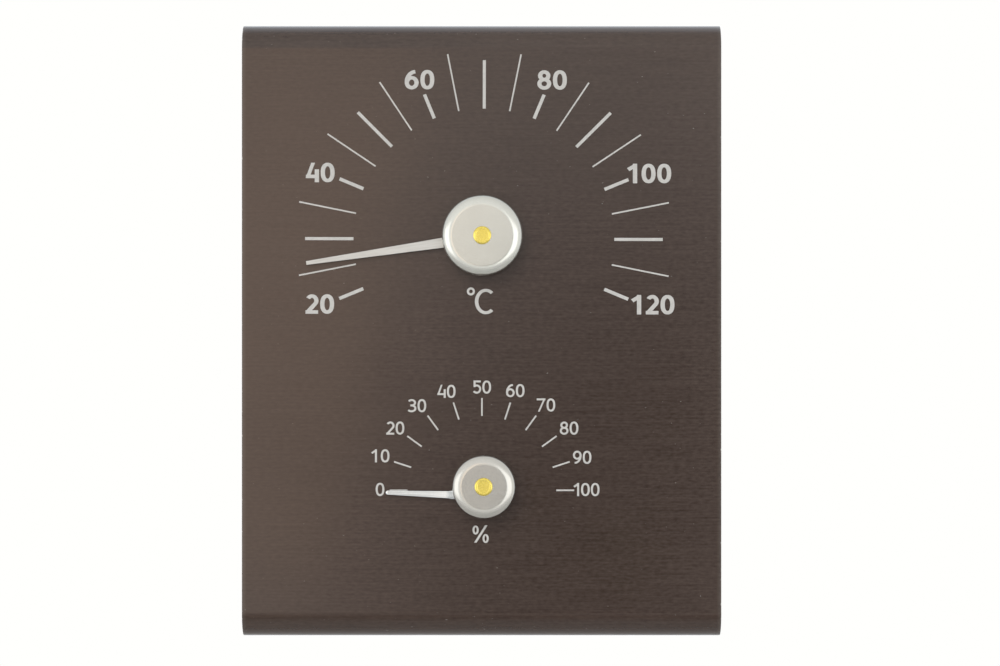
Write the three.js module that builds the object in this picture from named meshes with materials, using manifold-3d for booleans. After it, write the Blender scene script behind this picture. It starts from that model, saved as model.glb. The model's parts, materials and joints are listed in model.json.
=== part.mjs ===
// Sauna thermo-hygrometer. A folded metal face carries two dials: a bimetal coil turns the upper
// pointer with the temperature, and a humidity coil turns the lower one. Lengths are millimetres,
// +Z is up and the face looks towards -Y. The origin is the axis of the wall screw in the
// keyhole, on the plane of the wall. "Height" below means height in front of the face.

import * as THREE from "three";
import { mergeVertices } from "three/addons/utils/BufferGeometryUtils.js";
import Module from "manifold-3d";

const wasm = await Module();
wasm.setup();

// Face shell, folded from one sheet and open at both sides
const caseWidth = 125;
const caseHeight = 160;
const caseDepth = 20;
const sheetThickness = 1.2;
const frontBendRadius = 6.5;
const rearBendRadius = 3;
const upperLipHeight = 22;
const lowerLipHeight = 14;

// Keyhole in the upper lip: the screw's head goes in below and its shank ends in the slot above
const screwBelowTop = 9;
const slotWidth = 4.5;
const headHoleDiameter = 9;
const headHoleDrop = 5.5;

// Gaps, the overrun of every cut, and the distance within which points are one point
const clearance = 0.3;
const studClearance = 0.2;
const rivetClearance = 0.2;
const cutOverrun = 1;
const weldDistance = 0.0001;

// Pin of each dial: one turned piece, from the slotted stud behind the face to the closed head
const studDiameter = 4;
const studProud = 1.3;
const studChamfer = 0.3;
const adjusterSlotWidth = 0.8;
const adjusterSlotDepth = 0.8;
const flangeDiameter = 7;
const flangeThickness = 1;
const shaftDiameter = 4.4;
const neckDiameter = 2.8;
const headDiameter = 4.7;
const headThickness = 0.5;
const headChamfer = 0.25;

// Washers and nut on the stud
const spacerDiameter = 8;
const spacerThickness = 0.5;
const lockWasherDiameter = 8;
const lockWasherThickness = 0.5;
const lockToothDepth = 0.6;
const lockToothCount = 10;
const nutAcrossFlats = 7;
const nutThickness = 2.2;
const nutChamfer = 0.4;

// Coils: flat strip wound round the pin, its inner end in a slot of the pin
const stripWidth = 3;
const stripThickness = 0.3;
const tangReach = 1.6;
const tangBendRadius = 0.6;
const coilStandOff = 0.7;
const coilHeadroom = 1.4;

// Caps and pointers
const capSheet = 0.6;
const pointerLift = 1.2;
const tabBelowStripTop = 0.3;
const rivetShankDiameter = 0.7;
const rivetHeadDiameter = 1.2;
const rivetHeadThickness = 0.4;

// Engraved strokes of the two scales
const strokeDepth = 0.2;

// What differs between the dials. Places are measured from the middle of the face's top edge,
// angles anticlockwise from the right as seen from the front.
const thermometer = {
  name: "thermometer",
  pinRight: 0.2,
  pinBelowTop: 55.35,
  capDiameter: 20.75,
  capEdgeRadius: 2.4,
  coilDiameter: 15.2,
  coilFirstRadius: 3,
  turnSpacing: 0.85,
  pointerAngle: 188.7,
  pointerReach: 46.6,
  pointerOffset: 0,
  pointerThickness: 0.5,
  pointerRootWidth: 2.75,
  pointerTipWidth: 1.1,
  pointerRootEnd: 10,
  pointerNeckWidth: 2.7,
  scaleRight: 0.25,
  scaleBelow: 0.65,
  scaleStart: 202.5,
  scaleSweep: 225,
  scaleInnerRadius: 34.05,
};

const hygrometer = {
  name: "hygrometer",
  pinRight: 0.55,
  pinBelowTop: 120.35,
  capDiameter: 16.2,
  capEdgeRadius: 2.2,
  coilDiameter: 10.4,
  coilFirstRadius: 2.9,
  turnSpacing: 0.8,
  pointerAngle: 178,
  pointerReach: 25.4,
  pointerOffset: 2.65,
  pointerThickness: 0.4,
  pointerRootWidth: 2.1,
  pointerTipWidth: 1,
  pointerRootEnd: 8.8,
  pointerNeckWidth: 1.85,
  scaleRight: -0.75,
  scaleBelow: 1.1,
  scaleStart: 180,
  scaleSweep: 180,
  scaleInnerRadius: 19.5,
};

// Strokes of the scales. Every fourth gap of five degrees has a short heavy stroke beside its
// number, the tens between have a long heavy one and the fives a longer fine one.
const thermometerGaps = 20;
const numberedStroke = { outerRadius: 40.75, width: 0.9 };
const tenStroke = { outerRadius: 46.7, width: 0.85 };
const fiveStroke = { outerRadius: 49.2, width: 0.42 };
const hygrometerGaps = 10;
const humidityStroke = { outerRadius: 24.15, width: 0.45 };

// Counts of facets
const bendSteps = 8;
const capEdgeSteps = 5;
const capSides = 40;
const turnedSides = 24;
const holeSides = 24;
const stepsPerTurn = 20;
const tangBendSteps = 4;

// Colours and surfaces
const brownAnodised = new THREE.MeshStandardMaterial({ color: 0x574d46, metalness: 0.7, roughness: 0.42 });
const satinAluminium = new THREE.MeshStandardMaterial({ color: 0xc9c6bf, metalness: 0.9, roughness: 0.3 });
const pointerAluminium = new THREE.MeshStandardMaterial({ color: 0xc6c5c1, metalness: 0.8, roughness: 0.4 });
const brightStrip = new THREE.MeshStandardMaterial({ color: 0xe6e6e2, metalness: 1, roughness: 0.2 });
const brass = new THREE.MeshStandardMaterial({ color: 0xdcc25a, metalness: 1, roughness: 0.3 });
const bimetal = new THREE.MeshStandardMaterial({ color: 0x8f8b84, metalness: 0.9, roughness: 0.4 });
const humidityStrip = new THREE.MeshStandardMaterial({ color: 0xb9a98c, metalness: 0.4, roughness: 0.5 });
const zincSteel = new THREE.MeshStandardMaterial({ color: 0xaeb1b3, metalness: 0.9, roughness: 0.4 });
const blackFibre = new THREE.MeshStandardMaterial({ color: 0x2a2826, metalness: 0, roughness: 0.8 });

// Heights in front of the face that several pieces share
const caseTop = screwBelowTop;
const flangeBase = spacerThickness;
const shaftBase = flangeBase + flangeThickness;
const coilBase = shaftBase + coilStandOff;
const coilTop = coilBase + stripWidth;
const capCeiling = coilTop + coilHeadroom;
const capTop = capCeiling + capSheet;
const studHoleRadius = studDiameter / 2 + studClearance;

// Point seen from the front at a distance and an angle in degrees from a centre
function polar(distance, degrees) {
  const angle = THREE.MathUtils.degToRad(degrees);
  return new THREE.Vector2(distance * Math.cos(angle), distance * Math.sin(angle));
}

// Solid of the boolean library from a closed geometry: shared points merged, empty triangles left out
function toSolid(geometry) {
  const bare = geometry.clone();
  bare.deleteAttribute("normal");
  bare.deleteAttribute("uv");
  const welded = mergeVertices(bare, weldDistance);
  const corners = welded.index.array;
  const triangles = [];
  for (let first = 0; first < corners.length; first += 3) {
    const [a, b, c] = corners.slice(first, first + 3);
    if (a !== b && b !== c && c !== a) triangles.push(a, b, c);
  }
  const vertProperties = new Float32Array(welded.attributes.position.array);
  return new wasm.Manifold(new wasm.Mesh({ numProp: 3, vertProperties, triVerts: new Uint32Array(triangles) }));
}

// Geometry of a solid of the boolean library
function toGeometry(solid) {
  const mesh = solid.getMesh();
  const geometry = new THREE.BufferGeometry();
  geometry.setAttribute("position", new THREE.BufferAttribute(new Float32Array(mesh.vertProperties), 3));
  geometry.setIndex(new THREE.BufferAttribute(new Uint32Array(mesh.triVerts), 1));
  geometry.computeVertexNormals();
  return geometry;
}

// Turns a geometry whose x, y and z are right, up and height into the part's frame
function fromFront(geometry) {
  const turn = new THREE.Matrix4().set(1, 0, 0, 0, 0, 0, -1, 0, 0, 1, 0, 0, 0, 0, 0, 1);
  return geometry.applyMatrix4(turn);
}

// Prism with the outline seen from the front, between two heights
function prism(outline, low, high, curveSegments = holeSides) {
  const options = { depth: high - low, bevelEnabled: false, curveSegments };
  const geometry = new THREE.ExtrudeGeometry(outline, options).translate(0, 0, low);
  return fromFront(geometry);
}

// Piece turned round the pin's axis from a profile of [radius, height] points, rear to front outside
function turned(profile, sides = turnedSides) {
  const points = profile.map(([radius, height]) => new THREE.Vector2(radius, -height));
  return new THREE.LatheGeometry(points.reverse(), sides);
}

// Round outline, or one with corners where few sides are given
function roundShape(radius, sides = holeSides, firstCorner = 0) {
  const corners = [];
  for (let side = 0; side < sides; side += 1) {
    corners.push(polar(radius, firstCorner + (side * 360) / sides));
  }
  return new THREE.Shape(corners);
}

function mesh(name, geometry, material) {
  const piece = new THREE.Mesh(geometry, material);
  piece.name = name;
  return piece;
}

// Sheet's section seen from the side, with x towards the front and y up
function shellSection() {
  const bottom = caseTop - caseHeight;
  const quarter = Math.PI / 2;
  const section = new THREE.Shape();
  section.moveTo(sheetThickness, caseTop - upperLipHeight);
  section.lineTo(0, caseTop - upperLipHeight);
  section.absarc(rearBendRadius, caseTop - rearBendRadius, rearBendRadius, 2 * quarter, quarter, true);
  section.absarc(caseDepth - frontBendRadius, caseTop - frontBendRadius, frontBendRadius, quarter, 0, true);
  section.absarc(caseDepth - frontBendRadius, bottom + frontBendRadius, frontBendRadius, 0, -quarter, true);
  section.absarc(rearBendRadius, bottom + rearBendRadius, rearBendRadius, -quarter, -2 * quarter, true);
  section.lineTo(0, bottom + lowerLipHeight);
  section.lineTo(sheetThickness, bottom + lowerLipHeight);
  const innerRear = rearBendRadius - sheetThickness;
  const innerFront = frontBendRadius - sheetThickness;
  section.absarc(rearBendRadius, bottom + rearBendRadius, innerRear, 2 * quarter, 3 * quarter, false);
  section.absarc(caseDepth - frontBendRadius, bottom + frontBendRadius, innerFront, -quarter, 0, false);
  section.absarc(caseDepth - frontBendRadius, caseTop - frontBendRadius, innerFront, 0, quarter, false);
  section.absarc(rearBendRadius, caseTop - rearBendRadius, innerRear, quarter, 2 * quarter, false);
  return section;
}

// One engraved stroke of a scale, as the bar that is cut out of the face
function strokeBar(centre, degrees, innerRadius, stroke) {
  const half = stroke.width / 2;
  const corners = [
    [innerRadius, -half],
    [stroke.outerRadius, -half],
    [stroke.outerRadius, half],
    [innerRadius, half],
  ];
  const turnedCorners = corners.map(([along, across]) => {
    return polar(along, degrees).add(polar(across, degrees + 90)).add(centre);
  });
  return prism(new THREE.Shape(turnedCorners), caseDepth - strokeDepth, caseDepth + cutOverrun);
}

function pinPlace(dial) {
  return new THREE.Vector2(dial.pinRight, caseTop - dial.pinBelowTop);
}

// All the strokes of one scale; strokeOf gives the stroke of each gap's number
function scaleBars(dial, gaps, strokeOf) {
  const centre = pinPlace(dial).add(new THREE.Vector2(dial.scaleRight, -dial.scaleBelow));
  const bars = [];
  for (let gap = 0; gap <= gaps; gap += 1) {
    const degrees = dial.scaleStart - (gap * dial.scaleSweep) / gaps;
    bars.push(strokeBar(centre, degrees, dial.scaleInnerRadius, strokeOf(gap)));
  }
  return bars;
}

function thermometerStroke(gap) {
  if (gap % 4 === 0) return numberedStroke;
  return gap % 2 === 0 ? tenStroke : fiveStroke;
}

// Folded face with its keyhole, the two holes for the pins and the strokes of both scales
function faceShell() {
  const extruded = new THREE.ExtrudeGeometry(shellSection(), {
    depth: caseWidth,
    bevelEnabled: false,
    curveSegments: bendSteps,
  });
  const turn = new THREE.Matrix4().set(0, 0, -1, 0, -1, 0, 0, 0, 0, 1, 0, 0, 0, 0, 0, 1);
  extruded.translate(0, 0, -caseWidth / 2).applyMatrix4(turn);
  let solid = toSolid(extruded);

  const slotHalf = slotWidth / 2;
  const slot = new THREE.Shape();
  slot.moveTo(-slotHalf, -headHoleDrop);
  slot.lineTo(slotHalf, -headHoleDrop);
  slot.absarc(0, 0, slotHalf, 0, Math.PI, false);
  const headHole = prism(roundShape(headHoleDiameter / 2), -cutOverrun, sheetThickness + cutOverrun);
  const cuts = [prism(slot, -cutOverrun, sheetThickness + cutOverrun, bendSteps)];
  cuts.push(headHole.translate(0, 0, -headHoleDrop));
  for (const dial of [thermometer, hygrometer]) {
    const place = pinPlace(dial);
    const hole = prism(roundShape(studHoleRadius), caseDepth - sheetThickness - cutOverrun, caseDepth + cutOverrun);
    cuts.push(hole.translate(place.x, 0, place.y));
  }
  cuts.push(...scaleBars(thermometer, thermometerGaps, thermometerStroke));
  cuts.push(...scaleBars(hygrometer, hygrometerGaps, () => humidityStroke));
  for (const cut of cuts) solid = solid.subtract(toSolid(cut));
  return mesh("face_shell", toGeometry(solid), brownAnodised);
}

// Number of turns of a coil's spiral from its first radius to its outermost one
function coilTurns(dial) {
  const lastRadius = (dial.coilDiameter - stripThickness) / 2;
  return (lastRadius - dial.coilFirstRadius) / dial.turnSpacing;
}

// Inner face of the pointer's tab: as near the axis as lets it pass the coil when it turns
function tabInner(dial) {
  const nearest = Math.max(dial.pointerOffset - dial.pointerRootWidth / 2, 0);
  return Math.sqrt((dial.coilDiameter / 2 + clearance) ** 2 - nearest ** 2);
}

// Angle at which the coil ends, just past the middle of the pointer's tab
function coilEndAngle(dial) {
  const tabAngle = Math.atan2(dial.pointerOffset, tabInner(dial));
  const overlap = dial.pointerRootWidth / dial.coilDiameter;
  return dial.pointerAngle + THREE.MathUtils.radToDeg(tabAngle + overlap);
}

// Angle of the coil's inner end and of the slot in the pin that holds it
function tangAngle(dial) {
  return coilEndAngle(dial) - coilTurns(dial) * 360;
}

// Centre line of a coil with its tang along x: across the pin, round a bend, then out in a spiral
function coilLine(dial) {
  const firstRadius = dial.coilFirstRadius;
  const line = [new THREE.Vector2(-tangReach, 0)];
  for (let step = 0; step <= tangBendSteps; step += 1) {
    const bend = polar(tangBendRadius, -90 + (step * 90) / tangBendSteps);
    line.push(bend.add(new THREE.Vector2(firstRadius - tangBendRadius, tangBendRadius)));
  }
  const turns = coilTurns(dial);
  const steps = Math.round(turns * stepsPerTurn);
  for (let step = 1; step <= steps; step += 1) {
    const turn = (step * turns) / steps;
    line.push(polar(firstRadius + turn * dial.turnSpacing, turn * 360));
  }
  return line;
}

// Least gap between the turns of a coil, measured from each point to the turns outside it
function leastCoilGap(line) {
  let least = Infinity;
  for (let inner = 0; inner < line.length; inner += 1) {
    for (let outer = inner + stepsPerTurn / 2; outer < line.length - 1; outer += 1) {
      const segment = new THREE.Line3(
        new THREE.Vector3(line[outer].x, line[outer].y, 0),
        new THREE.Vector3(line[outer + 1].x, line[outer + 1].y, 0),
      );
      const point = new THREE.Vector3(line[inner].x, line[inner].y, 0);
      const nearest = segment.closestPointToPoint(point, true, new THREE.Vector3());
      least = Math.min(least, nearest.distanceTo(point));
    }
  }
  return least - stripThickness;
}

// Coil of flat strip: its centre line widened to the strip's thickness and given the strip's width
function coil(dial, material) {
  const line = coilLine(dial);
  console.log(`${dial.name}_coil: least gap between turns ${leastCoilGap(line).toFixed(2)} mm`);
  const left = [];
  const right = [];
  line.forEach((point, place) => {
    const before = line[Math.max(place - 1, 0)];
    const after = line[Math.min(place + 1, line.length - 1)];
    const along = after.clone().sub(before).normalize();
    const sideways = new THREE.Vector2(-along.y, along.x).multiplyScalar(stripThickness / 2);
    left.push(point.clone().add(sideways));
    right.push(point.clone().sub(sideways));
  });
  const outline = new THREE.Shape(right.concat(left.reverse()));
  const piece = mesh(`${dial.name}_coil`, prism(outline, coilBase, coilTop), material);
  piece.rotation.y = -THREE.MathUtils.degToRad(tangAngle(dial));
  return piece;
}

// Turned brass pin with the slot for the coil's tang and a slot in its rear end to set the zero
function pin(dial) {
  const studEnd = -(sheetThickness + lockWasherThickness + nutThickness + studProud);
  const studRadius = studDiameter / 2;
  const shaftRadius = shaftDiameter / 2;
  const neckRadius = neckDiameter / 2;
  const headRadius = headDiameter / 2;
  const headTop = capTop + headThickness;
  const blank = turned([
    [0, studEnd],
    [studRadius - studChamfer, studEnd],
    [studRadius, studEnd + studChamfer],
    [studRadius, flangeBase],
    [flangeDiameter / 2, flangeBase],
    [flangeDiameter / 2, shaftBase],
    [shaftRadius, shaftBase],
    [shaftRadius, capCeiling],
    [neckRadius, capCeiling],
    [neckRadius, capTop],
    [headRadius, capTop],
    [headRadius, headTop - headChamfer],
    [headRadius - headChamfer, headTop],
    [0, headTop],
  ]);
  const slotLength = flangeDiameter + cutOverrun;
  const tangSlot = new THREE.BoxGeometry(
    slotLength,
    stripWidth + 2 * clearance,
    stripThickness + 2 * clearance,
  ).translate(0, -(coilBase + coilTop) / 2, 0);
  const adjusterSlot = new THREE.BoxGeometry(
    slotLength,
    adjusterSlotDepth + cutOverrun,
    adjusterSlotWidth,
  ).translate(0, -studEnd + (cutOverrun - adjusterSlotDepth) / 2, 0);
  const solid = toSolid(blank).subtract(toSolid(tangSlot)).subtract(toSolid(adjusterSlot));
  const piece = mesh(`${dial.name}_pin`, toGeometry(solid), brass);
  piece.rotation.y = -THREE.MathUtils.degToRad(tangAngle(dial));
  return piece;
}

// Cap drawn from sheet, clamped between the pin's shaft and its closed head
function cap(dial) {
  const radius = dial.capDiameter / 2;
  const rim = pointerLift + dial.pointerThickness + clearance;
  const holeRadius = neckDiameter / 2 + clearance;
  const profile = [[radius - capSheet, rim], [radius, rim]];
  const addBend = (bendRadius, from, to) => {
    for (let step = 0; step <= capEdgeSteps; step += 1) {
      const bend = polar(bendRadius, from + (step * (to - from)) / capEdgeSteps);
      profile.push([radius - dial.capEdgeRadius + bend.x, capTop - dial.capEdgeRadius + bend.y]);
    }
  };
  addBend(dial.capEdgeRadius, 0, 90);
  profile.push([holeRadius, capTop], [holeRadius, capCeiling]);
  addBend(dial.capEdgeRadius - capSheet, 90, 0);
  profile.push(profile[0]);
  return mesh(`${dial.name}_cap`, turned(profile, capSides), satinAluminium);
}

// Pointer cut from sheet: a tapered blade with its root bent up into a tab beside the coil
function pointer(dial, material) {
  const inner = tabInner(dial);
  const thickness = dial.pointerThickness;
  const bend = 2 * thickness;
  const tabTop = coilTop - tabBelowStripTop;
  const side = new THREE.Shape();
  side.moveTo(inner + thickness, tabTop);
  side.lineTo(inner, tabTop);
  side.absarc(inner + bend, pointerLift + bend, bend, Math.PI, 1.5 * Math.PI, false);
  side.lineTo(dial.pointerReach, pointerLift);
  side.lineTo(dial.pointerReach, pointerLift + thickness);
  side.absarc(inner + bend, pointerLift + bend, bend - thickness, 1.5 * Math.PI, Math.PI, true);
  const blankWidth = dial.pointerRootWidth + 2 * cutOverrun;
  const sideSolid = new THREE.ExtrudeGeometry(side, {
    depth: blankWidth,
    bevelEnabled: false,
    curveSegments: tangBendSteps,
  });
  const turn = new THREE.Matrix4().set(1, 0, 0, 0, 0, -1, 0, 0, 0, 0, -1, 0, 0, 0, 0, 1);
  sideSolid.translate(0, 0, -blankWidth / 2 - dial.pointerOffset).applyMatrix4(turn);

  const halfRoot = dial.pointerRootWidth / 2;
  const halfNeck = dial.pointerNeckWidth / 2;
  const halfTip = dial.pointerTipWidth / 2;
  const plan = new THREE.Shape([
    new THREE.Vector2(inner - cutOverrun, dial.pointerOffset - halfRoot),
    new THREE.Vector2(dial.pointerRootEnd - clearance, dial.pointerOffset - halfRoot),
    new THREE.Vector2(dial.pointerRootEnd, dial.pointerOffset - halfNeck),
    new THREE.Vector2(dial.pointerReach, dial.pointerOffset - halfTip),
    new THREE.Vector2(dial.pointerReach, dial.pointerOffset + halfTip),
    new THREE.Vector2(dial.pointerRootEnd, dial.pointerOffset + halfNeck),
    new THREE.Vector2(dial.pointerRootEnd - clearance, dial.pointerOffset + halfRoot),
    new THREE.Vector2(inner - cutOverrun, dial.pointerOffset + halfRoot),
  ]);
  const planSolid = prism(plan, pointerLift - cutOverrun, tabTop + cutOverrun);
  const rivetHole = alongPointer(dial, [
    [0, -cutOverrun],
    [rivetShankDiameter / 2 + rivetClearance, -cutOverrun],
    [rivetShankDiameter / 2 + rivetClearance, thickness + cutOverrun],
    [0, thickness + cutOverrun],
  ]);
  const solid = toSolid(sideSolid).intersect(toSolid(planSolid)).subtract(toSolid(rivetHole));
  const piece = mesh(`${dial.name}_pointer`, toGeometry(solid), material);
  piece.rotation.y = -THREE.MathUtils.degToRad(dial.pointerAngle);
  return piece;
}

// Piece turned round the rivet's axis, from a profile of [radius, distance out from the tab's inner face]
function alongPointer(dial, profile) {
  const lathe = turned(profile);
  const turn = new THREE.Matrix4().set(0, -1, 0, 0, 1, 0, 0, 0, 0, 0, 1, 0, 0, 0, 0, 1);
  const height = (coilBase + coilTop) / 2;
  return lathe.applyMatrix4(turn).translate(tabInner(dial), -height, dial.pointerOffset);
}

// Rivet through the pointer's tab that holds it to the coil's outer end
function pointerRivet(dial) {
  const shankRadius = rivetShankDiameter / 2;
  const headRadius = rivetHeadDiameter / 2;
  const seat = dial.pointerThickness + rivetClearance;
  const top = seat + rivetHeadThickness;
  const geometry = alongPointer(dial, [
    [0, 0],
    [shankRadius, 0],
    [shankRadius, seat],
    [headRadius, seat],
    [headRadius, (seat + top) / 2],
    [headRadius / 2, top],
    [0, top],
  ]);
  const piece = mesh(`${dial.name}_pointer_rivet`, geometry, brass);
  piece.rotation.y = -THREE.MathUtils.degToRad(dial.pointerAngle);
  return piece;
}

// Fibre washer between the face and the pin's flange
function spacer(dial) {
  const outline = roundShape(spacerDiameter / 2);
  outline.holes.push(roundShape(studHoleRadius));
  return mesh(`${dial.name}_spacer`, prism(outline, 0, spacerThickness), blackFibre);
}

// Washer with teeth round its rim, behind the face
function lockWasher(dial) {
  const corners = [];
  for (let corner = 0; corner < lockToothCount * 4; corner += 1) {
    const onTooth = corner % 4 < 2;
    const radius = lockWasherDiameter / 2 - (onTooth ? 0 : lockToothDepth);
    corners.push(polar(radius, (corner * 90) / lockToothCount));
  }
  const outline = new THREE.Shape(corners);
  outline.holes.push(roundShape(studHoleRadius));
  const front = -sheetThickness;
  return mesh(`${dial.name}_lock_washer`, prism(outline, front - lockWasherThickness, front), zincSteel);
}

// Thin hexagon nut with chamfered corners
function nut(dial) {
  const front = -(sheetThickness + lockWasherThickness);
  const back = front - nutThickness;
  const cornerRadius = nutAcrossFlats / Math.sqrt(3);
  const outline = roundShape(cornerRadius, 6);
  outline.holes.push(roundShape(studHoleRadius));
  const rounding = turned([
    [0, back],
    [cornerRadius - nutChamfer, back],
    [cornerRadius, back + nutChamfer],
    [cornerRadius, front - nutChamfer],
    [cornerRadius - nutChamfer, front],
    [0, front],
  ]);
  const solid = toSolid(prism(outline, back, front)).intersect(toSolid(rounding));
  return mesh(`${dial.name}_nut`, toGeometry(solid), zincSteel);
}

// All the pieces of one dial, placed round the pin's axis on the face
function movement(dial, coilMaterial, pointerMaterial) {
  const group = new THREE.Group();
  group.add(pin(dial), coil(dial, coilMaterial), cap(dial));
  group.add(pointer(dial, pointerMaterial), pointerRivet(dial));
  group.add(spacer(dial), lockWasher(dial), nut(dial));
  const place = pinPlace(dial);
  group.position.set(place.x, -caseDepth, place.y);
  return group;
}

const thermoHygrometer = new THREE.Group();
thermoHygrometer.add(faceShell());
thermoHygrometer.add(movement(thermometer, bimetal, pointerAluminium));
thermoHygrometer.add(movement(hygrometer, humidityStrip, brightStrip));

export default thermoHygrometer;
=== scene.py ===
"""Sauna thermo-hygrometer: its looks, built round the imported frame.

Lengths are metres, +Z is up and the face looks towards -Y. "Height" is height in front of the face.
Each dial's pieces are made in the dial's own frame: x right, z up and y back, from the pin's axis
on the plane of the face."""

import json
import math
from types import SimpleNamespace

import bmesh
import bpy
from mathutils import Matrix, Vector
from mathutils.geometry import delaunay_2d_cdt


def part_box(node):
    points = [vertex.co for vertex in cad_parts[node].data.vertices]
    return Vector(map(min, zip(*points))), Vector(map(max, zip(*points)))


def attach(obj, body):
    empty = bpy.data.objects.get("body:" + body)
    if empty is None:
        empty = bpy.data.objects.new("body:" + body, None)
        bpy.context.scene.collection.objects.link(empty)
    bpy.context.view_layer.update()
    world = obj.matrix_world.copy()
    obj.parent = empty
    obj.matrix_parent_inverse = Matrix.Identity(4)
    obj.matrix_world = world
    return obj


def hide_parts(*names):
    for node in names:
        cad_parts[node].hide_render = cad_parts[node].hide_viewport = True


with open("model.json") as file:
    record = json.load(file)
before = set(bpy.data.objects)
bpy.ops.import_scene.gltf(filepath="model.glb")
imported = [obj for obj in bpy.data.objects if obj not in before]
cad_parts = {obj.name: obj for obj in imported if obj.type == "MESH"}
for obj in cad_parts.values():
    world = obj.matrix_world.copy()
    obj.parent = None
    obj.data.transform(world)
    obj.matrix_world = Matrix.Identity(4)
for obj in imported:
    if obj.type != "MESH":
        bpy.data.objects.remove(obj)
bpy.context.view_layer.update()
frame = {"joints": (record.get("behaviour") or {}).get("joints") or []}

MM = 0.001

# Sheet of the face
SHELL_LOW, SHELL_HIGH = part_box("face_shell")
FACE = SHELL_LOW.y
SHEET = 1.2 * MM
FRONT_BEND = 6.5 * MM
REAR_BEND = 3 * MM
UPPER_LIP = 22 * MM
LOWER_LIP = 14 * MM
SLOT_WIDTH = 4.5 * MM
HEAD_HOLE = 9 * MM
HEAD_HOLE_DROP = 5.5 * MM
STUD_HOLE = 4.4 * MM
EDGE_ROUNDING = 0.16 * MM

# Pins, washers and nuts
STUD = 4 * MM
STUD_CHAMFER = 0.3 * MM
STUD_PROUD = 1.3 * MM
THREAD_PITCH = 0.7 * MM
THREAD_DEPTH = 0.25 * MM
ADJUSTER_WIDTH = 0.8 * MM
ADJUSTER_DEPTH = 0.8 * MM
FLANGE = 7 * MM
FLANGE_THICKNESS = 1 * MM
SHAFT = 4.4 * MM
NECK = 2.8 * MM
HEAD = 4.7 * MM
HEAD_THICKNESS = 0.5 * MM
HEAD_SIDE = 0.1 * MM
RIM_INSET = 0.13 * MM
RIM_WIDTH = 0.29 * MM
RIM_DROP = 0.1 * MM
HOLLOW_DEPTH = 0.05 * MM
SPACER = 8 * MM
SPACER_THICKNESS = 0.5 * MM
WASHER = 8 * MM
WASHER_THICKNESS = 0.5 * MM
WASHER_SHEET = 0.36 * MM
TOOTH_DEPTH = 0.6 * MM
TOOTH_COUNT = 10
NUT_ACROSS_FLATS = 7 * MM
NUT_THICKNESS = 2.2 * MM
NUT_CHAMFER = 0.4 * MM

# Coils, caps and pointers
STRIP_WIDTH = 3 * MM
STRIP_THICKNESS = 0.3 * MM
STRIP_CHAMFER = 0.05 * MM
TANG_REACH = 1.6 * MM
TANG_BEND = 0.6 * MM
COIL_STAND_OFF = 0.7 * MM
CAP_SHEET = 0.6 * MM
POINTER_LIFT = 1.2 * MM
POINTER_ROUNDING = 0.07 * MM
CRANK_LEAD = 1 * MM
TIP_CHAMFER = 0.06 * MM
TAB_BELOW_STRIP = 0.3 * MM
RIVET_SHANK = 0.7 * MM
RIVET_HEAD = 1.2 * MM
RIVET_HEAD_THICKNESS = 0.6 * MM

# Running gap and the rounding of small turned edges
GAP = 0.3 * MM
FINE_ROUNDING = 0.08 * MM

# Print of the scales
INK = 0.04 * MM
INK_SEAT = 0.01 * MM

# Counts of steps: round a turned piece, along a corner, a turn of a coil, a bend of the sheet and others
SIDES = 96
CORNER_STEPS = 6
COIL_STEPS = 48
BEND_STEPS = 24
SHOULDER_STEPS = 24
THREAD_STEPS = 8
TOOTH_STEPS = 12
RIVET_SIDES = 32

# Finish of the meshes
SAME_PLACE = 0.0001 * MM
SHARP_ANGLE = math.radians(25)
BROKEN_EDGE_ANGLE = math.radians(50)
LARGE_FACE_WEIGHT = 90

# Heights that several pieces share
STUD_END = -(SHEET + WASHER_THICKNESS + NUT_THICKNESS + STUD_PROUD)
SHAFT_BASE = SPACER_THICKNESS + FLANGE_THICKNESS
COIL_BASE = SHAFT_BASE + COIL_STAND_OFF
COIL_TOP = COIL_BASE + STRIP_WIDTH


def make_dial(name, joint, hand, **sizes):
    """One dial: its pin's place and its cap's sizes from the frame, and its own sizes"""
    pin = Vector(next(j for j in frame["joints"] if j["name"] == joint)["pos_m"])
    low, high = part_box(f"{name}_cap")
    return SimpleNamespace(
        name=name,
        hand=hand,
        place=Vector((pin.x, FACE, pin.z)),
        cap_radius=(high.x - low.x) / 2 + sizes["cap_widening"],
        cap_rim=FACE - high.y,
        cap_top=FACE - low.y,
        **sizes,
    )


THERMOMETER = make_dial(
    "thermometer", "thermometer_reading", "thermometer_hand",
    cap_edge=2.4 * MM, cap_widening=0.1 * MM, cap_right=0, cap_up=0.08 * MM, shoulder_rise=0.68,
    coil_radius=7.6 * MM, coil_first=3 * MM, turn_spacing=0.85 * MM,
    pointer_angle=188.45, reach=46.35 * MM, offset=0, thickness=0.5 * MM, blade_shift=0.25 * MM,
    root_width=2.75 * MM, root_end=10 * MM, neck_width=2.64 * MM, tip_width=1.02 * MM, round_tip=False,
    crank_end=16 * MM, crank_drop=0,
    scale_right=0.4 * MM, scale_below=0.77 * MM,
)
HYGROMETER = make_dial(
    "hygrometer", "hygrometer_reading", "hygrometer_hand",
    cap_edge=2.2 * MM, cap_widening=0.05 * MM, cap_right=0.07 * MM, cap_up=-0.08 * MM, shoulder_rise=0.54,
    coil_radius=5.2 * MM, coil_first=2.9 * MM, turn_spacing=0.8 * MM,
    pointer_angle=178, reach=25.4 * MM, offset=2.65 * MM, thickness=0.4 * MM, blade_shift=0,
    root_width=2.1 * MM, root_end=8.8 * MM, neck_width=1.85 * MM, tip_width=1.05 * MM, round_tip=True,
    crank_end=14.2 * MM, crank_drop=0.16 * MM,
    scale_right=-0.47 * MM, scale_below=1.25 * MM,
)
DIALS = (THERMOMETER, HYGROMETER)


# Points and outlines


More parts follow.
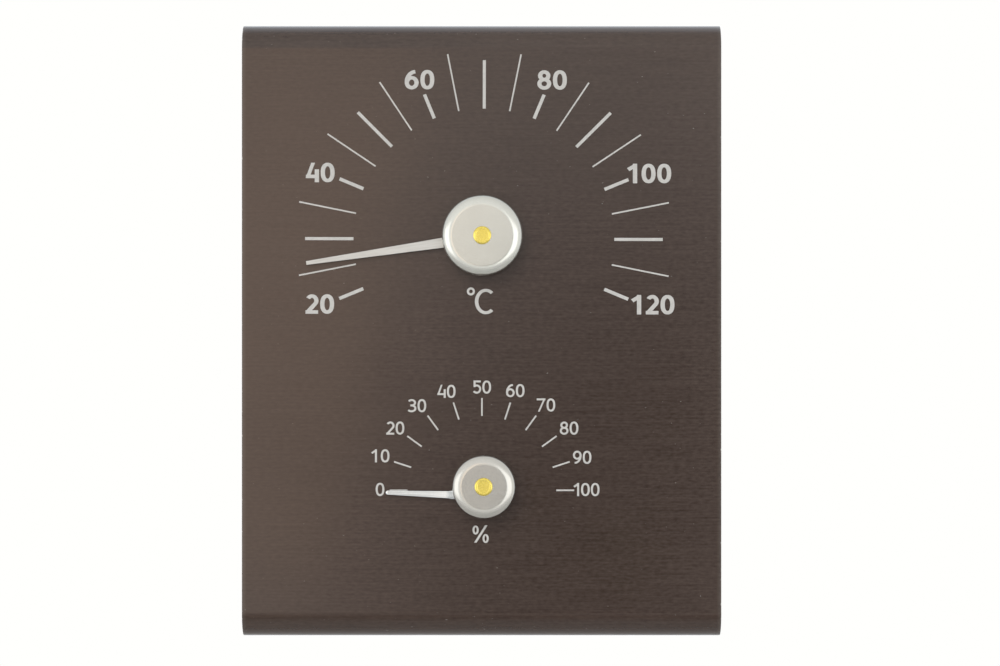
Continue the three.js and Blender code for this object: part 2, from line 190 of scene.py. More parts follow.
def polar(distance, degrees):
    """Flat point at a distance and an angle, anticlockwise from the right seen from the front"""
    angle = math.radians(degrees)
    return Vector((distance * math.cos(angle), distance * math.sin(angle)))


def front(right, up, height):
    """Point of a dial's frame"""
    return Vector((right, -height, up))


def remapped(value, start, end):
    """Share of the way from a start to an end, kept between 0 and 1"""
    return min(max((value - start) / (end - start), 0), 1)


def round_outline(radius, centre=Vector((0, 0)), sides=SIDES):
    return [centre + polar(radius, side * 360 / sides) for side in range(sides)]


def box_outline(half_width, half_height):
    return [Vector((x * half_width, y * half_height)) for x, y in ((-1, -1), (1, -1), (1, 1), (-1, 1))]


def rounded(corners, closed=False):
    """Outline through (x, y, rounding) corners, with an arc at each corner that has a rounding"""
    longest_share = 0.49
    outline = []
    count = len(corners)
    for place, (x, y, rounding) in enumerate(corners):
        corner = Vector((x, y))
        at_end = not closed and place in (0, count - 1)
        if at_end or not rounding:
            outline.append(corner)
            continue
        back = Vector(corners[place - 1][:2]) - corner
        ahead = Vector(corners[(place + 1) % count][:2]) - corner
        half = back.angle(ahead) / 2
        run = min(rounding / math.tan(half), back.length * longest_share, ahead.length * longest_share)
        start = corner + back.normalized() * run
        end = corner + ahead.normalized() * run
        middle = (back.normalized() + ahead.normalized()).normalized()
        centre = corner + middle * (run / math.cos(half))
        first = start - centre
        sweep = first.angle_signed(end - centre)
        for step in range(CORNER_STEPS + 1):
            turn = Matrix.Rotation(-sweep * step / CORNER_STEPS, 2)
            outline.append(centre + turn @ first)
    return outline


# Meshes


def solid(name, points, faces, materials, face_materials=()):
    """Object from points and faces, with points that coincide made one and its faces pointing out"""
    mesh = bpy.data.meshes.new(name)
    mesh.from_pydata([tuple(p) for p in points], [], [list(f) for f in faces])
    for material in materials:
        mesh.materials.append(material)
    for polygon, slot in zip(mesh.polygons, face_materials):
        polygon.material_index = slot
    shape = bmesh.new()
    shape.from_mesh(mesh)
    bmesh.ops.remove_doubles(shape, verts=shape.verts, dist=SAME_PLACE)
    bmesh.ops.recalc_face_normals(shape, faces=shape.faces)
    shape.to_mesh(mesh)
    shape.free()
    obj = bpy.data.objects.new(name, mesh)
    bpy.context.scene.collection.objects.link(obj)
    return obj


def loft(rings, closed=False):
    """Points and faces of a skin over rings of as many points each, joined up or filled at the ends"""
    count = len(rings[0])
    points = [point for ring in rings for point in ring]
    faces = []
    for ring in range(len(rings) if closed else len(rings) - 1):
        this = ring * count
        after = (ring + 1) % len(rings) * count
        for side in range(count):
            next_side = (side + 1) % count
            faces.append((this + side, this + next_side, after + next_side, after + side))
    if not closed:
        faces.append(range(count))
        faces.append(range(len(points) - count, len(points)))
    return points, faces


def lathe(profile, sides=SIDES, reshape=None):
    """Rings round a dial's axis from (radius, height) points; reshape may change radius and height"""
    rings = []
    for radius, height in profile:
        ring = []
        for side in range(sides):
            degrees = side * 360 / sides
            here, there = reshape(radius, height, degrees) if reshape else (radius, height)
            ring.append(front(*polar(here, degrees), there))
        rings.append(ring)
    return rings


def prism(outline, low, high):
    """Points and faces of a prism with a flat outline, between two values of y"""
    return loft([[(x, y, z) for x, z in outline] for y in (low, high)])


def bake(obj):
    """Applies an object's modifiers to its mesh"""
    evaluated = obj.evaluated_get(bpy.context.evaluated_depsgraph_get())
    mesh = bpy.data.meshes.new_from_object(evaluated)
    obj.modifiers.clear()
    obj.data = mesh


def cut(obj, *cutters):
    """Takes prisms, each given as its points and faces, out of an object"""
    for cutter in cutters:
        tool = solid("cutter", *cutter, obj.data.materials)
        take = obj.modifiers.new("take", "BOOLEAN")
        take.operation = "DIFFERENCE"
        take.solver = "EXACT"
        take.object = tool
        bake(obj)
        bpy.data.objects.remove(tool)


def tidy_mesh(obj, bevel=0):
    """Shades a piece smooth up to its sharp edges, keeps its flat faces flat, and may bevel its edges"""
    if bevel:
        edge = obj.modifiers.new("edge", "BEVEL")
        edge.width = bevel
        edge.segments = 2
        edge.limit_method = "ANGLE"
        edge.angle_limit = BROKEN_EDGE_ANGLE
    bake(obj)
    for polygon in obj.data.polygons:
        polygon.use_smooth = True
    obj.data.set_sharp_from_angle(angle=SHARP_ANGLE)
    weigh = obj.modifiers.new("weigh", "WEIGHTED_NORMAL")
    weigh.keep_sharp = True
    weigh.weight = LARGE_FACE_WEIGHT
    bake(obj)


def dress(obj, body, slot, *nodes):
    """Gives a piece its body and hides the CAD nodes it stands for; slot is not used"""
    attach(obj, body)
    if nodes:
        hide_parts(*nodes)


def settle(obj, dial, piece, slot, degrees=0, body="case", shift=(0, 0, 0)):
    """Smooths a piece of a dial, puts it in its place, turned anticlockwise as seen from the front,
    and lets it stand for the dial's CAD node of that name"""
    turn = Matrix.Rotation(-math.radians(degrees), 4, "Y")
    obj.matrix_world = Matrix.Translation(dial.place + Vector(shift)) @ turn
    tidy_mesh(obj)
    dress(obj, body, slot, f"{dial.name}_{piece}")


# Materials


def linear(red, green, blue):
    """Linear colour with alpha from 8-bit values as a picture shows them"""
    def channel(value):
        share = value / 255
        return share / 12.92 if share <= 0.04045 else ((share + 0.055) / 1.055) ** 2.4
    return (channel(red), channel(green), channel(blue), 1)


def feed(tree, fed, inputs):
    """Sets a node's inputs, each to another node's socket or to a value"""
    for name, value in inputs.items():
        if isinstance(value, bpy.types.NodeSocket):
            tree.links.new(value, fed.inputs[name])
        else:
            fed.inputs[name].default_value = value


def node(tree, kind, inputs=None, **settings):
    """Adds a shader node"""
    made = tree.nodes.new(kind)
    for name, value in settings.items():
        setattr(made, name, value)
    feed(tree, made, inputs or {})
    return made


def new_material(name):
    """Empty material, with its tree and shader"""
    material = bpy.data.materials.new(name)
    material.use_nodes = True
    tree = material.node_tree
    tree.nodes.clear()
    shader = node(tree, "ShaderNodeBsdfPrincipled")
    node(tree, "ShaderNodeOutputMaterial", {"Surface": shader.outputs[0]})
    return material, tree, shader


def place_on_object(tree):
    return node(tree, "ShaderNodeTexCoord").outputs["Object"]


def noise(tree, scales, detail=3.0, rough=0.55):
    """Noise between 0 and 1 in object space, with its own number of waves per metre along x, y and z"""
    inputs = {"Vector": place_on_object(tree), "Scale": scales}
    stretched = node(tree, "ShaderNodeMapping", inputs).outputs[0]
    inputs = {"Vector": stretched, "Scale": 1.0, "Detail": detail, "Roughness": rough}
    return node(tree, "ShaderNodeTexNoise", inputs).outputs["Fac"]


def remap(tree, value, low, high, to_low=0, to_high=1):
    """Value moved from one range to another and kept inside it"""
    inputs = {"Value": value, "From Min": low, "From Max": high, "To Min": to_low, "To Max": to_high}
    return node(tree, "ShaderNodeMapRange", inputs).outputs[0]


def blend(tree, factor, first, second):
    """Colour between two colours"""
    return node(tree, "ShaderNodeMix", {0: factor, 6: first, 7: second}, data_type="RGBA").outputs[2]


def combine(tree, operation, first, *others):
    """Values taken together by Math nodes, one after the other"""
    for other in others:
        first = node(tree, "ShaderNodeMath", {0: first, 1: other}, operation=operation).outputs[0]
    return first


def weighted(tree, first, share, second):
    """Sum of a share of one value and the rest of another"""
    rest = combine(tree, "MULTIPLY", second, 1 - share)
    return combine(tree, "ADD", combine(tree, "MULTIPLY", first, share), rest)


def relief(tree, shader, height, depth, strength=0.3):
    """Fine bumps on a shader's surface"""
    bump = node(tree, "ShaderNodeBump", {"Height": height, "Strength": strength, "Distance": depth})
    feed(tree, shader, {"Normal": bump.outputs[0]})


def metal(name, dark, light, rough, grain, spread=0.06, metallic=1.0, cloud=60):
    """Metal whose colour, gloss and relief follow a grain, with a soft cloudiness over it"""
    material, tree, shader = new_material(name)
    fine = noise(tree, grain, detail=5)
    soft = noise(tree, (cloud, cloud, cloud), detail=2)
    tone = weighted(tree, fine, 0.7, soft)
    colour = blend(tree, remap(tree, tone, 0.35, 0.65), linear(*dark), linear(*light))
    roughness = remap(tree, fine, 0.3, 0.7, rough - spread, rough + spread)
    feed(tree, shader, {"Base Color": colour, "Roughness": roughness, "Metallic": metallic})
    relief(tree, shader, fine, 0.001 * MM)
    return material


def bare_metal(tree, across):
    """How bare the brown sheet is: nicks and wear at both side edges, and faint specks all over"""
    half_width = SHELL_HIGH.x
    nick_start, nick_full = 0.25 * MM, 0.1 * MM
    wear_width = 1.2 * MM
    from_middle = combine(tree, "ABSOLUTE", across, 0)
    near_edge = remap(tree, from_middle, half_width - nick_start, half_width - nick_full)
    chips = remap(tree, noise(tree, (300, 700, 700)), 0.62, 0.68)
    specks = remap(tree, noise(tree, (900, 2600, 2600), detail=1), 0.765, 0.82, 0, 0.5)
    wear = remap(tree, from_middle, half_width - wear_width, half_width, 0, 0.07)
    return combine(tree, "MAXIMUM", combine(tree, "MULTIPLY", near_edge, chips), specks, wear)


def dull_band(tree, back, up):
    """1 in a narrow band where the bottom bend begins in front, so that no bright line shows there"""
    start = SHELL_LOW.z + FRONT_BEND
    from_above = remap(tree, up, start + 0.4 * MM, start - 0.7 * MM)
    from_below = remap(tree, up, start - 2.6 * MM, start - 1.2 * MM)
    in_front = remap(tree, back, FACE + FRONT_BEND, FACE + 1 * MM)
    return combine(tree, "MULTIPLY", from_above, from_below, in_front)


def brown_anodised():
    """Dark brown anodised sheet, brushed along x under a thin clear coat"""
    material, tree, shader = new_material("brown_anodised")
    fine = noise(tree, (620, 1700, 1700))
    broad = noise(tree, (50, 2000, 2000))
    soft = noise(tree, (22, 22, 22), detail=2)
    brushing = weighted(tree, fine, 0.6, broad)
    tone = weighted(tree, brushing, 0.75, soft)
    brown = blend(tree, remap(tree, tone, 0.36, 0.64), linear(62, 47, 40), linear(77, 62, 54))
    across, back, up = node(tree, "ShaderNodeSeparateXYZ", {"Vector": place_on_object(tree)}).outputs
    dull = dull_band(tree, back, up)
    feed(tree, shader, {
        "Base Color": blend(tree, bare_metal(tree, across), brown, linear(205, 202, 196)),
        "Metallic": 0.35,
        "Roughness": remap(tree, brushing, 0.35, 0.65, 0.14, 0.27),
        "Specular IOR Level": remap(tree, dull, 0, 1, 0.5, 0.27),
        "Anisotropic": 0.6,
        "Tangent": node(tree, "ShaderNodeTangent", direction_type="RADIAL", axis="X").outputs[0],
        "Coat Weight": remap(tree, dull, 0, 1, 0.5, 0.15),
        "Coat Roughness": 0.1,
    })
    relief(tree, shader, brushing, 0.003 * MM, 0.25)
    return material


def printed_marks():
    """Marks bared through the brown coat: pale satin metal with a slightly uneven colour"""
    dark, light = (191, 190, 187), (206, 204, 201)
    return metal("printed_marks", dark, light, 0.5, (900, 900, 900), metallic=0.35, cloud=300)


def turned_satin(name, dark, light):
    """Satin metal of a drawn cap, with a fine grain that has no direction"""
    return metal(name, dark, light, 0.22, (5200, 5200, 5200), spread=0.02, cloud=150)


def pointer_satin():
    """Satin metal brushed along the pointer"""
    return metal("pointer_satin", (182, 181, 178), (198, 197, 194), 0.36, (120, 3000, 3000))


def bright_strip():
    """Bright rolled metal with a grain along the pointer"""
    return metal("bright_strip", (221, 227, 231), (237, 243, 246), 0.2, (90, 2600, 2600))


def brass():
    """Turned and polished brass"""
    dark, light = (226, 205, 102), (234, 213, 113)
    return metal("brass", dark, light, 0.27, (3000, 3000, 3000), spread=0.02, cloud=400)


def layered_strip(name, dark, light):
    """Rolled strip with a grain along its length"""
    return metal(name, dark, light, 0.34, (500, 2500, 500))


def humidity_coat():
    """Matt coat that takes up moisture"""
    dark, light = (172, 157, 130), (198, 184, 156)
    return metal("humidity_coat", dark, light, 0.62, (1400, 1400, 1400), metallic=0.1)


def zinc():
    """Zinc plate, dull and cloudy"""
    dark, light = (158, 161, 164), (188, 190, 192)
    return metal("zinc", dark, light, 0.36, (900, 900, 900), spread=0.1, cloud=500)


def fibre():
    """Pressed dark fibre: matt, with pale short hairs in it"""
    material, tree, shader = new_material("fibre")
    hairs = noise(tree, (2500, 900, 2500), detail=6, rough=0.7)
    colour = blend(tree, remap(tree, hairs, 0.4, 0.7), linear(34, 32, 31), linear(70, 64, 58))
    feed(tree, shader, {"Base Color": colour, "Roughness": remap(tree, hairs, 0.3, 0.7, 0.7, 0.92)})
    relief(tree, shader, hairs, 0.03 * MM, 0.5)
    return material


BROWN = brown_anodised()
MARKS = printed_marks()
CAP_METAL = turned_satin("cap_satin", (207, 207, 200), (215, 215, 209))
# The hygrometer's cap is the same satin metal as the thermometer's, made darker: painted shade for the
# less light that cap gets
SHADED_CAP_METAL = turned_satin("cap_satin_painted_shade", (195, 193, 187), (203, 201, 195))
POINTER_METAL = pointer_satin()
BRIGHT_METAL = bright_strip()
BRASS = brass()
STEEL_LAYER = layered_strip("bimetal_steel", (140, 137, 131), (163, 159, 153))
BRONZE_LAYER = layered_strip("bimetal_bronze", (160, 130, 92), (186, 154, 112))
COATED_LAYER = humidity_coat()
ZINC = zinc()
FIBRE = fibre()


# Face


def fold_line(inset):
    """Section of the folded sheet at a depth below its outer side, as (y, z) points, top lip first"""
    wall = SHELL_HIGH.y - inset
    top = SHELL_HIGH.z
    bottom = SHELL_LOW.z
    line = [Vector((wall, top - UPPER_LIP))]
    bends = (
        (SHELL_HIGH.y - REAR_BEND, top - REAR_BEND, REAR_BEND, 0),
        (FACE + FRONT_BEND, top - FRONT_BEND, FRONT_BEND, 90),
        (FACE + FRONT_BEND, bottom + FRONT_BEND, FRONT_BEND, 180),
        (SHELL_HIGH.y - REAR_BEND, bottom + REAR_BEND, REAR_BEND, 270),
    )
    for y, z, radius, start in bends:
        for step in range(BEND_STEPS + 1):
            line.append(Vector((y, z)) + polar(radius - inset, start + 90 * step / BEND_STEPS))
    line.append(Vector((wall, bottom + LOWER_LIP)))
    return line


def folded_sheet():
    """Points and faces of the folded sheet, open at both sides"""
    outer = fold_line(0)
    section = outer + fold_line(SHEET)[::-1]
    count = len(section)
    points, faces = loft([[(x, y, z) for y, z in section] for x in (-SHELL_HIGH.x, SHELL_HIGH.x)])
    ends = []
    for place in range(len(outer) - 1):
        across = count - 1 - place
        for side in (0, count):
            ends.append((side + place, side + place + 1, side + across - 1, side + across))
    return points, faces[:-2] + ends


def face_shell():
    """Folded sheet with its keyhole, the holes of both pins and soft edges"""
    shell = solid("face_shell_sheet", *folded_sheet(), [BROWN])
    slot = [Vector((-SLOT_WIDTH / 2, -HEAD_HOLE_DROP)), Vector((SLOT_WIDTH / 2, -HEAD_HOLE_DROP))]
    slot += [polar(SLOT_WIDTH / 2, 180 * step / BEND_STEPS) for step in range(BEND_STEPS + 1)]
    head_hole = round_outline(HEAD_HOLE / 2, Vector((0, -HEAD_HOLE_DROP)))
    wall_cut = (SHELL_HIGH.y - 2 * SHEET, SHELL_HIGH.y + SHEET)
    face_cut = (FACE - SHEET, FACE + 2 * SHEET)
    stud_holes = [prism(round_outline(STUD_HOLE / 2, dial.place.xz), *face_cut) for dial in DIALS]
    cut(shell, prism(slot, *wall_cut), prism(head_hole, *wall_cut), *stud_holes)
    tidy_mesh(shell, EDGE_ROUNDING)
    dress(shell, "case", "brown_anodised", "face_shell")


# Strokes and numbers


def scale_centre(dial):
    """Middle of a dial's scale on the face, as a flat point of the whole object"""
    return dial.place.xz + Vector((dial.scale_right, -dial.scale_below))


def printed(name, shapes):
    """Thin print on the face that covers all the flat convex shapes, in the object's x and z, once"""
    corners = []
    faces = []
    for shape in shapes:
        area = sum(a.cross(b) for a, b in zip(shape, shape[1:] + shape[:1]))
        ordered = shape if area > 0 else shape[::-1]
        faces.append(list(range(len(corners), len(corners) + len(shape))))
        corners += [corner / MM for corner in ordered]
    same_place_mm = 1e-5
    flat, _, triangles, _, _, sources = delaunay_2d_cdt(corners, [], faces, 0, same_place_mm)
    kept = [triangle for triangle, source in zip(triangles, sources) if source]
    count = len(flat)
    points = [(p.x * MM, y, p.y * MM) for y in (FACE - INK, FACE + INK_SEAT) for p in flat]
    skin = kept + [[count + corner for corner in triangle] for triangle in kept]
    uses = {}
    for triangle in kept:
        for a, b in zip(triangle, triangle[1:] + triangle[:1]):
            uses.setdefault(frozenset((a, b)), []).append((a, b))
    for directed in uses.values():
        if len(directed) == 1:
            a, b = directed[0]
            skin.append((a, b, count + b, count + a))
    obj = solid(name, points, skin, [MARKS])
    tidy_mesh(obj)
    dress(obj, "case", "satin_aluminium")


def stroke_bar(centre, degrees, inner, outer, width):
    """Corners of one stroke of a scale"""
    along = polar(1, degrees)
    across = polar(width / 2, degrees + 90)
    return [centre + along * inner - across, centre + along * outer - across,
            centre + along * outer + across, centre + along * inner + across]


def strokes(dial, first, sweep, gaps, inner, kinds):
    """Strokes of a scale over a sweep from a first angle; their kinds, each an outer end and a width,
    take turns"""
    centre = scale_centre(dial)
    bars = []
    for gap in range(gaps + 1):
        outer, width = kinds[gap % len(kinds)]
        bars.append(stroke_bar(centre, first - gap * sweep / gaps, inner, outer, width))
    printed(f"{dial.name}_strokes", bars)


def thermometer_strokes():
    """Strokes that are short and heavy at the numbers, long and heavy at the tens between, and
    longer and fine at the fives"""
    numbered = (40.75 * MM, 0.86 * MM)
    ten = (46.6 * MM, 0.8 * MM)
    five = (49.1 * MM, 0.39 * MM)
    strokes(THERMOMETER, 202.35, 225, 20, 34 * MM, (numbered, five, ten, five))


def hygrometer_strokes():
    """Strokes that are all alike"""
    strokes(HYGROMETER, 180, 180, 10, 19.4 * MM, ((24.05 * MM, 0.41 * MM),))


class Pen:
    """Draws one character as overlapping convex shapes in a box of width by height. Its strokes are
    thicker or thinner with their direction. Places are shares of the box that the middles of the
    strokes keep to, apart from bars, whose ends are shares of the whole box."""

    def __init__(self, face, width):
        self.width = width
        self.height = face["height"]
        self.upright = face["upright"]
        self.level = face["level"]
        self.shapes = []

    def at(self, across, up):
        return Vector((
            self.upright + across * (self.width - 2 * self.upright),
            self.level + up * (self.height - 2 * self.level),
        ))

    def arc(self, centre, radii, start, end, squareness=2.0):
        degrees_a_step = 9
        steps = max(2, round(abs(end - start) / degrees_a_step))
        points = []
        for step in range(steps + 1):
            way = polar(1, start + (end - start) * step / steps)
            bent = [math.copysign(abs(value) ** (2 / squareness), value) for value in way]
            points.append(self.at(centre[0] + radii[0] * bent[0], centre[1] + radii[1] * bent[1]))
        return points

    def ribbon(self, points, closed=False):
        """Stroke along a line of points; a closed one ends at the point where it begins"""
        edges = []
        count = len(points)
        for place, point in enumerate(points):
            before = points[place - 1] if place else points[-2 if closed else 0]
            after = points[place + 1] if place < count - 1 else points[1 if closed else -1]
            along = (after - before).normalized()
            normal = Vector((-along.y, along.x))
            spread = math.hypot(self.upright * normal.x, self.level * normal.y)
            offset = Vector((self.upright ** 2 * normal.x, self.level ** 2 * normal.y)) / spread
            edges.append((point + offset, point - offset))
        for (a, b), (c, d) in zip(edges, edges[1:]):
            self.shapes.append([a, b, d, c])

    def ring(self, centre, radii, squareness=2.0):
        self.ribbon(self.arc(centre, radii, 0, 360, squareness), closed=True)

    def quad(self, *corners):
        self.shapes.append([Vector(corner) for corner in corners])

    def upright_bar(self, across, low, high):
        middle = self.at(across, 0).x
        left, right = middle - self.upright, middle + self.upright
        bottom, top = low * self.height, high * self.height
        self.quad((left, bottom), (right, bottom), (right, top), (left, top))

    def level_bar(self, up, left, right):
        middle = self.at(0, up).y
        low, high = middle - self.level, middle + self.level
        start, end = left * self.width, right * self.width
        self.quad((start, low), (end, low), (end, high), (start, high))

    def slant(self, low_left, high_left, low, high, thickness=1.75):
        """Slanting stroke with level ends, from its left side's shares of the width"""
        across = thickness * self.upright
        bottom, top = low * self.height, high * self.height
        start, end = low_left * self.width, high_left * self.width
        self.quad((start, bottom), (start + across, bottom), (end + across, top), (end, top))

    def turn_round(self):
        """Turns what is drawn by half a turn"""
        far_corner = Vector((self.width, self.height))
        self.shapes = [[far_corner - corner for corner in shape] for shape in self.shapes]

    def moved(self, centre):
        """Shapes with the middle of the box at a point"""
        middle = Vector((self.width / 2, self.height / 2))
        return [[corner - middle + centre for corner in shape] for shape in self.shapes]


def draw_zero(pen):
    pen.ring((0.5, 0.5), (0.5, 0.5), 2.3)


def draw_one(pen):
    pen.upright_bar(1, 0, 1)
    pen.ribbon([pen.at(1, 0.99), pen.at(0, 0.74)])


def draw_two(pen):
    curve = pen.arc((0.5, 0.71), (0.5, 0.29), 150, -34)
    pen.ribbon(curve + [pen.at(0.04, 0.02)])
    pen.level_bar(0, 0, 0.97)


def draw_three(pen):
    pen.ribbon(pen.arc((0.44, 0.76), (0.5, 0.24), 148, -90))
    pen.ribbon(pen.arc((0.42, 0.26), (0.58, 0.26), 90, -145))
    pen.level_bar(0.52, 0.3, 0.55)


def draw_four(pen):
    pen.level_bar(0.255, 0.04, 1)
    pen.slant(0.02, 0.43, 0.23, 1)
    pen.upright_bar(1, 0, 0.66)


def draw_five(pen):
    pen.level_bar(1, 0.08, 0.94)
    pen.upright_bar(0.07, 0.5, 1)
    pen.ribbon(pen.arc((0.42, 0.32), (0.58, 0.32), 128, -145))


def draw_six(pen):
    pen.ring((0.5, 0.31), (0.5, 0.31))
    pen.ribbon(pen.arc((0.95, 0.34), (0.95, 0.66), 180, 94, 2.1))


def draw_seven(pen):
    pen.level_bar(1, 0, 1)
    pen.slant(0.14, 0.78, 0, 0.94)


def draw_eight(pen):
    pen.ring((0.5, 0.765), (0.42, 0.235))
    pen.ring((0.5, 0.265), (0.5, 0.265))


def draw_nine(pen):
    draw_six(pen)
    pen.turn_round()


DRAW = (
    draw_zero, draw_one, draw_two, draw_three, draw_four,
    draw_five, draw_six, draw_seven, draw_eight, draw_nine,
)
BOLD = dict(
    width=3.64 * MM, height=5.08 * MM, upright=0.56 * MM, level=0.46 * MM, gap=0.43 * MM,
    narrow={"1": 2.9 * MM, "2": 3.4 * MM, "4": 3.55 * MM},
    gap_after_one={"100": 1.15 * MM, "120": 1.2 * MM},
)
REGULAR = dict(
    width=2.26 * MM, height=3.42 * MM, upright=0.265 * MM, level=0.245 * MM, gap=0.3 * MM,
    narrow={"1": 1.6 * MM, "2": 2.15 * MM, "5": 2.1 * MM},
    gap_after_one={"10": 1.0 * MM, "100": 0.5 * MM},
)


def number(text, face, centre):
    """Shapes of a number whose middle is at a point"""
    shapes = []
    x = 0
    for character in text:
        pen = Pen(face, face["narrow"].get(character, face["width"]))
        DRAW[int(character)](pen)
        shapes += [[corner + Vector((x, 0)) for corner in shape] for shape in pen.shapes]
        x += pen.width + (face["gap_after_one"][text] if character == "1" else face["gap"])
    middle = Vector(((x - face["gap"]) / 2, face["height"] / 2))
    return [[corner - middle + centre for corner in shape] for shape in shapes]


def scale_numbers(labels, face, centre):
    """Shapes of a scale's numbers, each at an angle and a distance in millimetres from its middle"""
    shapes = []
    for text, degrees, distance in labels:
        shapes += number(text, face, centre + polar(distance * MM, degrees))
    return shapes


def thermometer_numbers():
    """Numbers of the thermometer, and its unit below the cap"""
    centre = scale_centre(THERMOMETER)
    labels = (("20", 201.6, 46), ("40", 157.9, 46.1), ("60", 112, 44.8),
              ("80", 66.8, 45.1), ("100", 21.7, 46.2), ("120", -21.3, 47.1))
    shapes = scale_numbers(labels, BOLD, centre)
    ring_place, letter_place = Vector((-3.39, -13.65)) * MM, Vector((0.11, -16.28)) * MM
    ring = Pen(dict(height=2.1 * MM, upright=0.28 * MM, level=0.28 * MM), 2.1 * MM)
    ring.ring((0.5, 0.5), (0.5, 0.5))
    letter = Pen(dict(height=6.62 * MM, upright=0.46 * MM, level=0.39 * MM), 4.95 * MM)
    letter.ribbon(letter.arc((0.6, 0.5), (0.6, 0.5), 49, 311))
    shapes += ring.moved(centre + ring_place) + letter.moved(centre + letter_place)
    printed("thermometer_numbers", shapes)


def hygrometer_numbers():
    """Numbers of the hygrometer, and its unit below the cap"""
    centre = scale_centre(HYGROMETER)
    labels = (("0", 179.5, 26.55), ("10", 161.3, 28), ("20", 144.3, 27.8), ("30", 127.5, 27.8),
              ("40", 109.8, 27.4), ("50", 89.9, 26.9), ("60", 71.5, 27.4), ("70", 53.1, 27.8),
              ("80", 35.5, 27.9), ("90", 18.2, 27.5), ("100", 0.4, 27.2))
    shapes = scale_numbers(labels, REGULAR, centre)
    ring_places = (Vector((-1.64, -10.36)) * MM, Vector((0.97, -12.57)) * MM)
    slash_place = Vector((-0.32, -11.38)) * MM
    ring = Pen(dict(height=2.35 * MM, upright=0.26 * MM, level=0.22 * MM), 1.62 * MM)
    ring.ring((0.5, 0.5), (0.5, 0.5))
    for place in ring_places:
        shapes += ring.moved(centre + place)
    slash = Pen(dict(REGULAR, height=4.5 * MM), 3.3 * MM)
    slash.slant(-0.02, 0.84, 0, 1, 2.5)
    printed("hygrometer_numbers", shapes + slash.moved(centre + slash_place))


# Pieces of a dial


def cap(dial, material):
    """Drawn cap: a flat top, a rounded shoulder and a plain rim"""
    radius = dial.cap_radius
    rim = dial.cap_rim
    top = dial.cap_top
    rise = dial.shoulder_rise
    ellipse_stretch = 1.14
    ellipse_start = 8
    hole = NECK / 2 + GAP
    lip = 0.25 * CAP_SHEET

    def shoulder(inset):
        """Part of an ellipse wider than it is high, from a slope at the side up to the flat top"""
        across = dial.cap_edge * ellipse_stretch - inset
        outermost = polar(1, ellipse_start).x
        centre = Vector((radius - inset - across * outermost, top - inset - across * rise))
        turn = (90 - ellipse_start) / SHOULDER_STEPS
        ways = [polar(1, ellipse_start + turn * step) for step in range(SHOULDER_STEPS + 1)]
        return [centre + Vector((way.x * across, way.y * across * rise)) for way in ways]

    outside = rounded([(radius - CAP_SHEET, rim, 0), (radius, rim, lip), (radius, top, 0)])[:-1]
    opening = rounded([
        (radius, top, 0),
        (hole, top, lip),
        (hole, top - CAP_SHEET, lip),
        (radius, top - CAP_SHEET, 0),
    ])
    profile = outside + shoulder(0) + opening[1:-1] + shoulder(CAP_SHEET)[::-1]
    obj = solid(f"{dial.name}_cap_drawn", *loft(lathe(profile), closed=True), [material])
    settle(obj, dial, "cap", "satin_aluminium", shift=(dial.cap_right, 0, dial.cap_up))


def coil_turns(dial):
    return (dial.coil_radius - STRIP_THICKNESS / 2 - dial.coil_first) / dial.turn_spacing


def tab_inner(dial):
    """Distance of the inner face of the pointer's tab from the axis"""
    nearest = max(dial.offset - dial.root_width / 2, 0)
    return math.sqrt((dial.coil_radius + GAP) ** 2 - nearest ** 2)


def tang_angle(dial):
    """Angle of the coil's inner end, from that of its outer end just past the pointer's tab"""
    tab = math.atan2(dial.offset, tab_inner(dial))
    overlap = dial.root_width / (2 * dial.coil_radius)
    return dial.pointer_angle + math.degrees(tab + overlap) - coil_turns(dial) * 360


def threaded(radius, height, degrees):
    """Screw thread on the stud, behind the face"""
    behind = -SHEET - WASHER_THICKNESS
    if height > behind or radius < STUD / 2 - STUD_CHAMFER / 2:
        return radius, height
    phase = (height / THREAD_PITCH + degrees / 360) % 1
    groove = 1 - abs(2 * phase - 1)
    return radius - THREAD_DEPTH * groove, height


def pin_profile(dial):
    """Half of a pin's section as (radius, height) points, from the stud's end up to the closed head"""
    top = dial.cap_top
    ceiling = top - CAP_SHEET
    head_top = top + HEAD_THICKNESS
    radius = STUD / 2
    thread_start = STUD_END + STUD_CHAMFER
    thread = -SHEET - thread_start
    steps = round(thread / THREAD_PITCH * THREAD_STEPS)
    stud = [Vector((radius, thread_start + thread * step / steps)) for step in range(steps + 1)]
    fine = FINE_ROUNDING
    upper = rounded([
        (radius, -SHEET / 2, 0),
        (radius, SPACER_THICKNESS, 0),
        (FLANGE / 2, SPACER_THICKNESS, fine),
        (FLANGE / 2, SHAFT_BASE, fine),
        (SHAFT / 2, SHAFT_BASE, fine),
        (SHAFT / 2, ceiling, fine),
        (NECK / 2, ceiling, 0),
        (NECK / 2, top, 0),
        (HEAD / 2, top, fine),
        (HEAD / 2, top + HEAD_SIDE, fine),
        (HEAD / 2 - RIM_INSET, head_top - RIM_DROP, fine),
        (HEAD / 2 - RIM_INSET - RIM_WIDTH, head_top, fine),
        (0.37 * HEAD, head_top, fine),
        (0.33 * HEAD, head_top - HOLLOW_DEPTH, fine),
        (0, head_top - HOLLOW_DEPTH, 0),
    ])
    return [Vector((0, STUD_END)), Vector((radius - STUD_CHAMFER, STUD_END))] + stud + upper


def pin(dial):
    """Turned brass pin with a threaded stud, a slot for the coil and one for a screwdriver"""
    rings = lathe(pin_profile(dial), reshape=threaded)
    obj = solid(f"{dial.name}_pin_turned", *loft(rings), [BRASS])
    reach = FLANGE / 2 + GAP
    tang_slot = box_outline(reach, STRIP_THICKNESS / 2 + GAP)
    adjuster = box_outline(reach, ADJUSTER_WIDTH / 2)
    cut(
        obj,
        prism(tang_slot, -COIL_TOP - GAP, -COIL_BASE + GAP),
        prism(adjuster, -STUD_END - ADJUSTER_DEPTH, -STUD_END + ADJUSTER_DEPTH),
    )
    settle(obj, dial, "pin", "brass", tang_angle(dial))


